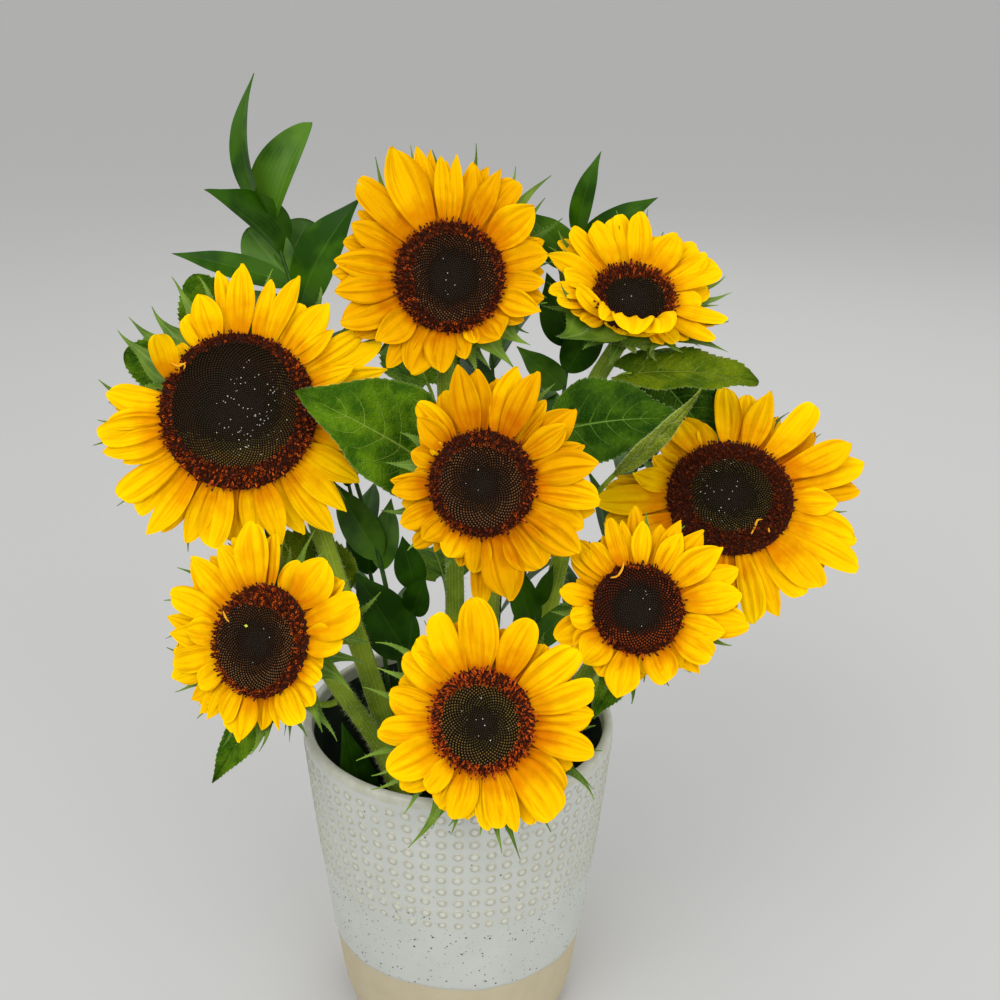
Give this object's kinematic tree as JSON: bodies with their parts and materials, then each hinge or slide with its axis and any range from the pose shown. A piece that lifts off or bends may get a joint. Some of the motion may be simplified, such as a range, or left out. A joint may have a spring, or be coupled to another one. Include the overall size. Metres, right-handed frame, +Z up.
{
  "type": "sunflower plant",
  "caption": "Bunch of cut sunflowers with their leaves and smooth-leaved greenery, standing in a dotted glazed pot.",
  "frame": {"origin": "middle of the pot's flat underside, at the level it stands on", "axes": "+Z up along the pot's axis, -Y the side that the flowers face, +X to the right when seen from that side"},
  "size_m": [0.3796, 0.2548, 0.478],
  "materials": {
    "pot": "pale speckled glaze over bare clay at the foot",
    "fill": "dark and damp",
    "stem": "green, ribbed and hairy",
    "disc": "dark florets",
    "petal": "soft, golden yellow",
    "calyx": "green, hairy",
    "leaf": "green with pale veins",
    "greenery": "smooth and glossy deep green"
  },
  "bodies": {
    "root": {"pot": "pot", "fill": "fill", "stem_left": "stem", "disc_left": "disc", "rays_left": "petal", "calyx_left": "calyx", "stem_top": "stem", "disc_top": "disc", "rays_top": "petal", "calyx_top": "calyx", "stem_upper_right": "stem", "disc_upper_right": "disc", "rays_upper_right": "petal", "calyx_upper_right": "calyx", "stem_centre": "stem", "disc_centre": "disc", "rays_centre": "petal", "calyx_centre": "calyx", "stem_right": "stem", "disc_right": "disc", "rays_right": "petal", "calyx_right": "calyx", "stem_lower_left": "stem", "disc_lower_left": "disc", "rays_lower_left": "petal", "calyx_lower_left": "calyx", "stem_front": "stem", "disc_front": "disc", "rays_front": "petal", "calyx_front": "calyx", "stem_lower_right": "stem", "disc_lower_right": "disc", "rays_lower_right": "petal", "calyx_lower_right": "calyx", "leaf_left_of_centre": "leaf", "leaf_right_of_centre": "leaf", "leaf_curled": "leaf", "leaf_under_upper_right": "leaf", "leaf_low_under_upper_right": "leaf", "leaf_below_lower_left": "leaf", "leaf_far_left_upper": "leaf", "leaf_far_left_lower": "leaf", "leaf_right_rim": "leaf", "leaf_under_left": "leaf", "leaf_back_top": "leaf", "leaf_back_upper_right": "leaf", "leaf_back_left": "leaf", "leaf_back_right": "leaf", "leaf_back_low": "leaf", "sprig_upper_left": "greenery", "sprig_upper_right": "greenery", "sprig_mid_left": "greenery", "sprig_mid_right": "greenery", "sprig_back_left": "greenery", "sprig_back_middle": "greenery", "sprig_back_right": "greenery", "sprig_in_pot": "greenery"}
  },
  "joints": []
}
